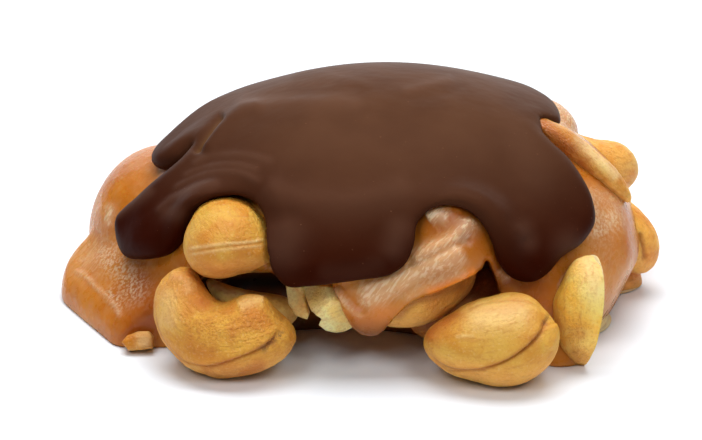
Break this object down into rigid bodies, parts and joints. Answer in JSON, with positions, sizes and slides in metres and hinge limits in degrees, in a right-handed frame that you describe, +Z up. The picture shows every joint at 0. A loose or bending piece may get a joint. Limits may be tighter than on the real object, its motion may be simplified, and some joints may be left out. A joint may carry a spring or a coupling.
{
  "type": "chocolate cashew caramel cluster",
  "caption": "Mound of soft caramel set with whole, halved and broken roasted cashews, with a dark chocolate cap that has run down between them.",
  "frame": {"origin": "on the table, under the middle of the cluster's outline", "axes": "+Z up, +X to the right along the longest side, -Y towards the front, where the cashews stand in a row"},
  "size_m": [0.1006, 0.0834, 0.0378],
  "materials": {
    "chocolate": "satin",
    "caramel": "glossy",
    "cashew": "satin"
  },
  "bodies": {
    "root": {"chocolate_cap": "chocolate", "caramel": "caramel", "cashew_front_left": "cashew", "cashew_front_right": "cashew", "cashew_under_cap": "cashew", "cashew_half_right": "cashew", "cashew_front_middle": "cashew", "cashew_half_in_hollow": "cashew", "cashew_in_hollow": "cashew", "cashew_half_shoulder": "cashew", "cashew_right": "cashew", "cashew_back_right": "cashew", "cashew_half_right_edge": "cashew", "cashew_half_right_foot": "cashew", "cashew_piece_left": "cashew", "cashew_piece_middle": "cashew", "cashew_chip": "cashew", "cashew_back_left": "cashew", "cashew_back_1": "cashew", "cashew_back_2": "cashew", "cashew_back_3": "cashew", "cashew_back_high": "cashew"}
  },
  "joints": []
}
